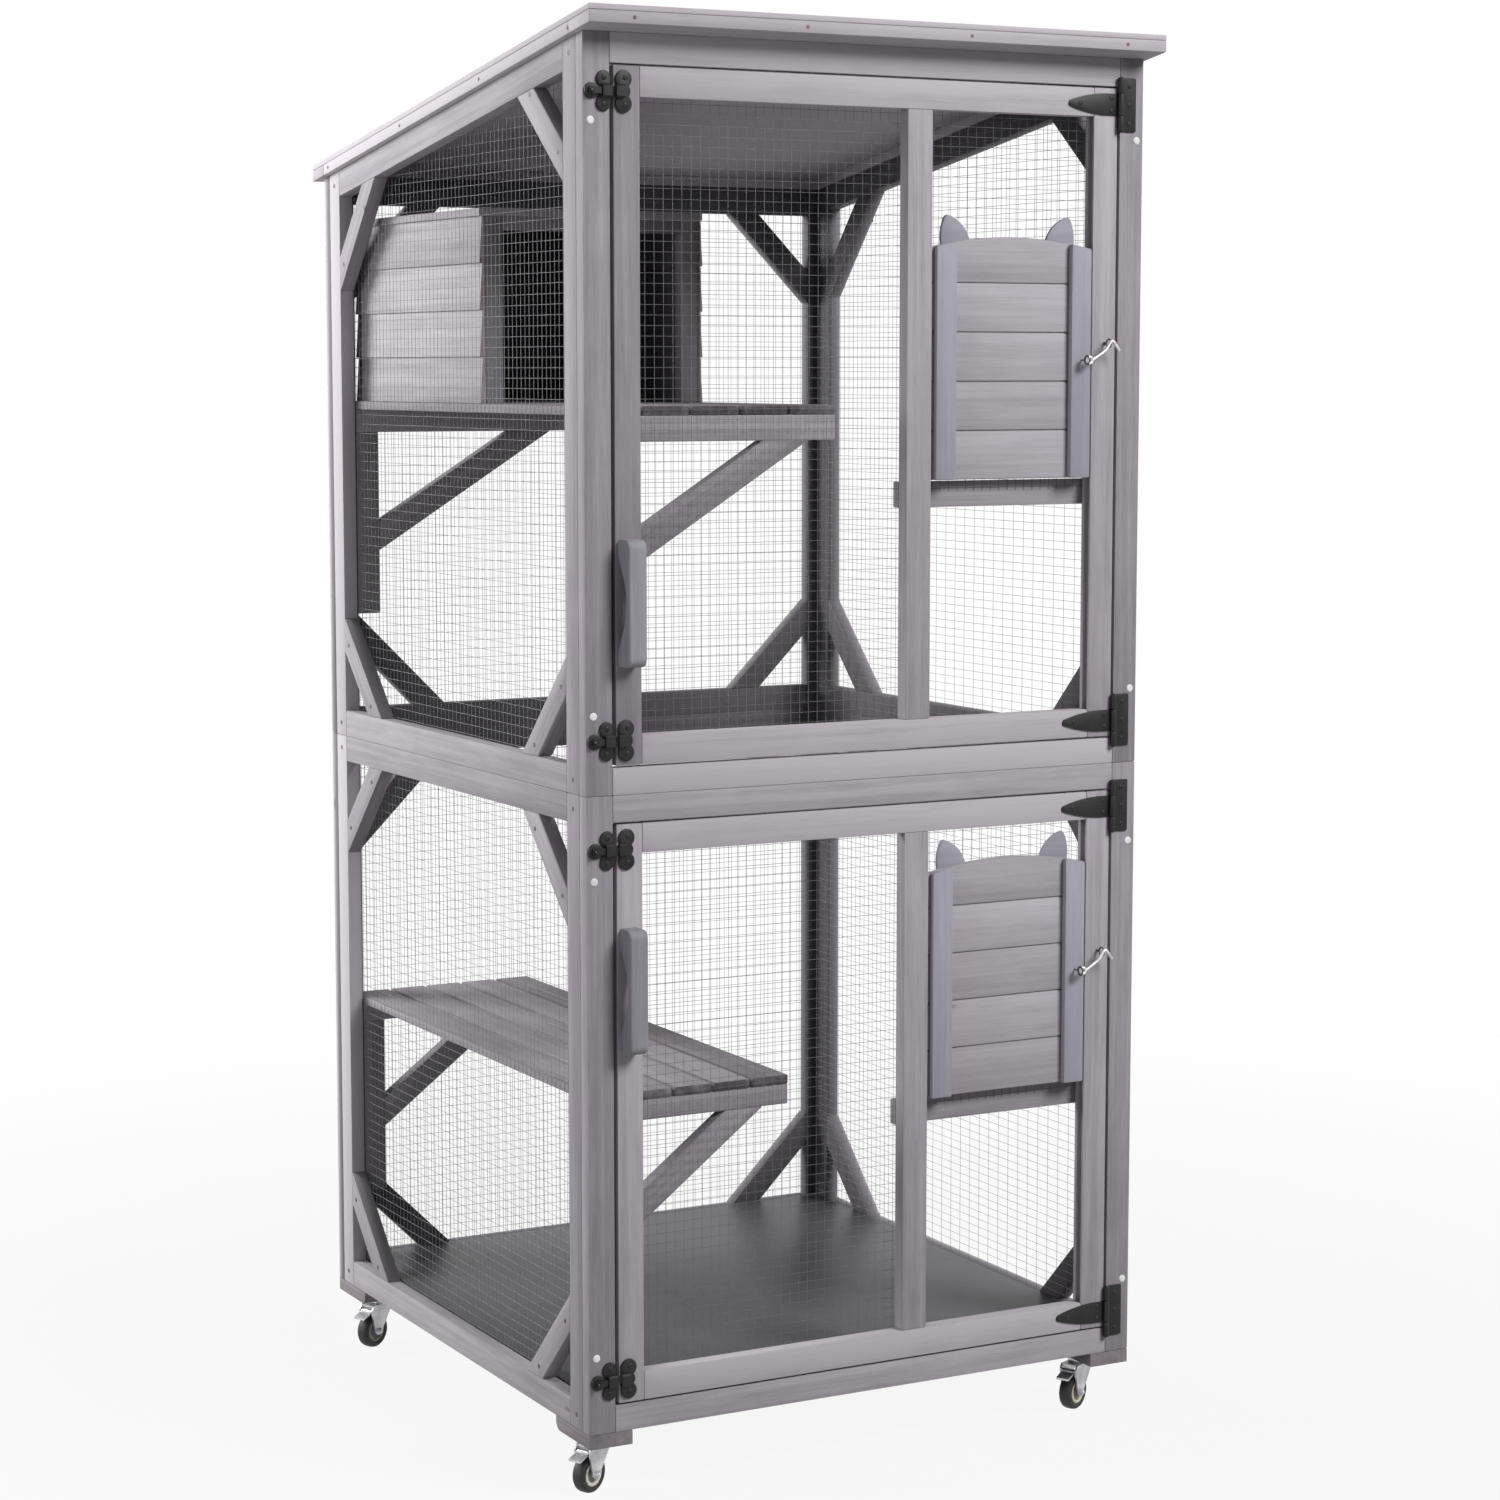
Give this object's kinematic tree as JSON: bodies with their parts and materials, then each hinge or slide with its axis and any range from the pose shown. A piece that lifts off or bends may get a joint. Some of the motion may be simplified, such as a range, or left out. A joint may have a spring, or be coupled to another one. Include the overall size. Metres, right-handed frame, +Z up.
{
  "type": "walk_in_cat_enclosure",
  "caption": "Tall slant-roofed timber and wire cat enclosure on braked casters, with hinged front doors, sliding cat panels, a shelf, a platform and a sleeping house.",
  "frame": {"origin": "On the ground, below the middle of the roof's outline.", "axes": "+X to the right as seen from the front, +Y from the doors to the back, +Z up."},
  "size_m": [0.8256, 0.9076, 1.835],
  "materials": {
    "grey_timber": "grey water stain, matt",
    "wire_net": "dark coated welded wire",
    "roof_sheet": "grey stained sheet",
    "floor_sheet": "smooth dark grey sheet",
    "black_iron": "black, satin",
    "zinc_steel": "bright zinc",
    "pale_caps": "pale caps and nail heads",
    "caster_wheel": "black tyre on a pale hub",
    "black_plastic": "black moulded tread"
  },
  "bodies": {
    "enclosure": {"lower_front_frame": "grey_timber", "upper_front_frame": "grey_timber", "lower_left_frame": "grey_timber", "lower_right_frame": "grey_timber", "lower_back_frame": "grey_timber", "upper_left_frame": "grey_timber", "upper_right_frame": "grey_timber", "upper_back_frame": "grey_timber", "lower_left_mesh": "wire_net", "lower_right_mesh": "wire_net", "lower_back_mesh": "wire_net", "upper_left_mesh": "wire_net", "upper_right_mesh": "wire_net", "upper_back_mesh": "wire_net", "roof_panel": "roof_sheet", "roof_trim": "grey_timber", "floor_panel": "floor_sheet", "floor_ledgers": "grey_timber", "caster_blocks": "grey_timber", "lower_shelf_slats": "grey_timber", "lower_shelf_brackets": "grey_timber", "upper_platform_slats": "grey_timber", "upper_platform_brackets": "grey_timber", "house_walls": "grey_timber", "house_front": "grey_timber", "house_top": "grey_timber", "hinge_leaves": "black_iron", "latch_bases": "black_iron", "caster_plates": "zinc_steel", "frame_screws": "pale_caps"},
    "lower_door": {"lower_door_frame": "grey_timber", "lower_door_mesh": "wire_net", "lower_door_handle": "grey_timber", "lower_door_fittings": "black_iron"},
    "lower_cat_panel": {"lower_cat_panel": "grey_timber", "lower_panel_eye": "zinc_steel"},
    "lower_hook": {"lower_hook": "zinc_steel"},
    "lower_top_bolt": {"lower_top_bolt": "black_iron"},
    "lower_bottom_bolt": {"lower_bottom_bolt": "black_iron"},
    "upper_door": {"upper_door_frame": "grey_timber", "upper_door_mesh": "wire_net", "upper_door_handle": "grey_timber", "upper_door_fittings": "black_iron"},
    "upper_cat_panel": {"upper_cat_panel": "grey_timber", "upper_panel_eye": "zinc_steel"},
    "upper_hook": {"upper_hook": "zinc_steel"},
    "upper_top_bolt": {"upper_top_bolt": "black_iron"},
    "upper_bottom_bolt": {"upper_bottom_bolt": "black_iron"},
    "front_left_fork": {"front_left_fork": "zinc_steel"},
    "front_left_wheel": {"front_left_wheel": "caster_wheel"},
    "front_left_pedal": {"front_left_pedal": "black_plastic"},
    "front_right_fork": {"front_right_fork": "zinc_steel"},
    "front_right_wheel": {"front_right_wheel": "caster_wheel"},
    "front_right_pedal": {"front_right_pedal": "black_plastic"},
    "back_left_fork": {"back_left_fork": "zinc_steel"},
    "back_left_wheel": {"back_left_wheel": "caster_wheel"},
    "back_left_pedal": {"back_left_pedal": "black_plastic"},
    "back_right_fork": {"back_right_fork": "zinc_steel"},
    "back_right_wheel": {"back_right_wheel": "caster_wheel"},
    "back_right_pedal": {"back_right_pedal": "black_plastic"}
  },
  "joints": [
    {"name": "lower_door_hinge", "type": "hinge", "parent": "enclosure", "child": "lower_door", "pos_m": [0.365, -0.4194, 0.49], "axis": [0, 0, 1], "range_deg": [0, 120]},
    {"name": "lower_cat_panel_slide", "type": "slide", "parent": "lower_door", "child": "lower_cat_panel", "axis": [0, 0, 1], "range_m": [-0.303, 0]},
    {"name": "lower_hook_lift", "type": "hinge", "parent": "lower_cat_panel", "child": "lower_hook", "pos_m": [0.3115, -0.4335, 0.619], "axis": [0, 1, 0], "range_deg": [-80, 0]},
    {"name": "lower_top_bolt_slide", "type": "slide", "parent": "enclosure", "child": "lower_top_bolt", "axis": [1, 0, 0], "range_m": [0, 0.009]},
    {"name": "lower_bottom_bolt_slide", "type": "slide", "parent": "enclosure", "child": "lower_bottom_bolt", "axis": [1, 0, 0], "range_m": [0, 0.009]},
    {"name": "upper_door_hinge", "type": "hinge", "parent": "enclosure", "child": "upper_door", "pos_m": [0.365, -0.4194, 1.347], "axis": [0, 0, 1], "range_deg": [0, 120]},
    {"name": "upper_cat_panel_slide", "type": "slide", "parent": "upper_door", "child": "upper_cat_panel", "axis": [0, 0, 1], "range_m": [-0.303, 0]},
    {"name": "upper_hook_lift", "type": "hinge", "parent": "upper_cat_panel", "child": "upper_hook", "pos_m": [0.3115, -0.4335, 1.419], "axis": [0, 1, 0], "range_deg": [-80, 0]},
    {"name": "upper_top_bolt_slide", "type": "slide", "parent": "enclosure", "child": "upper_top_bolt", "axis": [1, 0, 0], "range_m": [0, 0.009]},
    {"name": "upper_bottom_bolt_slide", "type": "slide", "parent": "enclosure", "child": "upper_bottom_bolt", "axis": [1, 0, 0], "range_m": [0, 0.009]},
    {"name": "front_left_swivel", "type": "hinge", "parent": "enclosure", "child": "front_left_fork", "pos_m": [-0.365, -0.355, 0.062], "axis": [0, 0, 1], "continuous": true},
    {"name": "front_left_wheel_spin", "type": "hinge", "parent": "front_left_fork", "child": "front_left_wheel", "pos_m": [-0.37932, -0.36214, 0.025], "axis": [-0.4462, 0.8949, 0], "continuous": true},
    {"name": "front_left_brake_pedal", "type": "hinge", "parent": "front_left_fork", "child": "front_left_pedal", "pos_m": [-0.38827, -0.3666, 0.054], "axis": [-0.4462, 0.8949, 0], "range_deg": [0, 20]},
    {"name": "front_right_swivel", "type": "hinge", "parent": "enclosure", "child": "front_right_fork", "pos_m": [0.365, -0.355, 0.062], "axis": [0, 0, 1], "continuous": true},
    {"name": "front_right_wheel_spin", "type": "hinge", "parent": "front_right_fork", "child": "front_right_wheel", "pos_m": [0.35068, -0.36214, 0.025], "axis": [-0.4462, 0.8949, 0], "continuous": true},
    {"name": "front_right_brake_pedal", "type": "hinge", "parent": "front_right_fork", "child": "front_right_pedal", "pos_m": [0.34173, -0.3666, 0.054], "axis": [-0.4462, 0.8949, 0], "range_deg": [0, 20]},
    {"name": "back_left_swivel", "type": "hinge", "parent": "enclosure", "child": "back_left_fork", "pos_m": [-0.365, 0.371, 0.062], "axis": [0, 0, 1], "continuous": true},
    {"name": "back_left_wheel_spin", "type": "hinge", "parent": "back_left_fork", "child": "back_left_wheel", "pos_m": [-0.37932, 0.36386, 0.025], "axis": [-0.4462, 0.8949, 0], "continuous": true},
    {"name": "back_left_brake_pedal", "type": "hinge", "parent": "back_left_fork", "child": "back_left_pedal", "pos_m": [-0.38827, 0.3594, 0.054], "axis": [-0.4462, 0.8949, 0], "range_deg": [0, 20]},
    {"name": "back_right_swivel", "type": "hinge", "parent": "enclosure", "child": "back_right_fork", "pos_m": [0.365, 0.371, 0.062], "axis": [0, 0, 1], "continuous": true},
    {"name": "back_right_wheel_spin", "type": "hinge", "parent": "back_right_fork", "child": "back_right_wheel", "pos_m": [0.35068, 0.36386, 0.025], "axis": [-0.4462, 0.8949, 0], "continuous": true},
    {"name": "back_right_brake_pedal", "type": "hinge", "parent": "back_right_fork", "child": "back_right_pedal", "pos_m": [0.34173, 0.3594, 0.054], "axis": [-0.4462, 0.8949, 0], "range_deg": [0, 20]}
  ]
}
